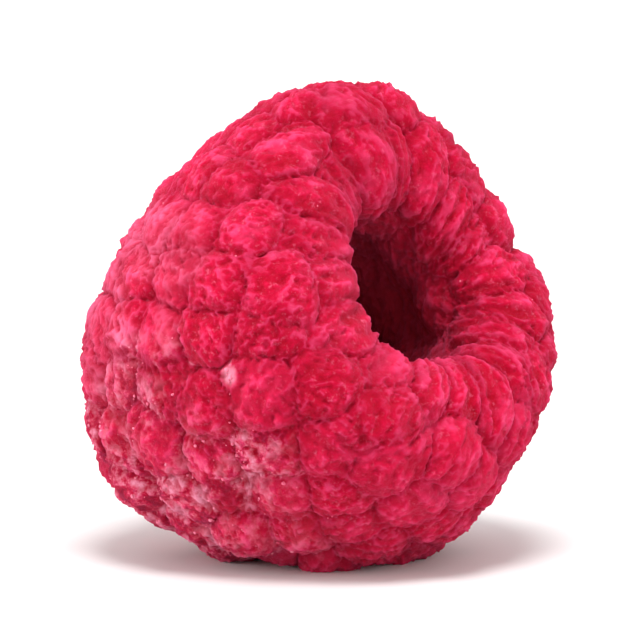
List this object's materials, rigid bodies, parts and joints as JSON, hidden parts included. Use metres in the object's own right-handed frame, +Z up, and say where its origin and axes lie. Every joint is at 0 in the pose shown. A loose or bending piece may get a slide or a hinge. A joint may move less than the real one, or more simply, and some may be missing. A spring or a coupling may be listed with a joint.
{
  "type": "freeze-dried raspberry",
  "caption": "Freeze-dried raspberry lying on its side: a squat, uneven dome of drupelets round the open hollow that its core left.",
  "frame": {"origin": "on the surface the berry lies on, under the middle of its bounding box", "axes": "+Z up, -Y towards the open end, whose axis points along -Y and rises 28 degrees, +X to the right as seen from the open end"},
  "size_m": [0.0192, 0.0188, 0.0194],
  "materials": {
    "raspberry_flesh": "dry, matt and velvety crimson pink, finely wrinkled, with a pale frosted bloom on the drupelets' tops and darker creases between them"
  },
  "bodies": {
    "root": {"raspberry": "raspberry_flesh"}
  },
  "joints": []
}
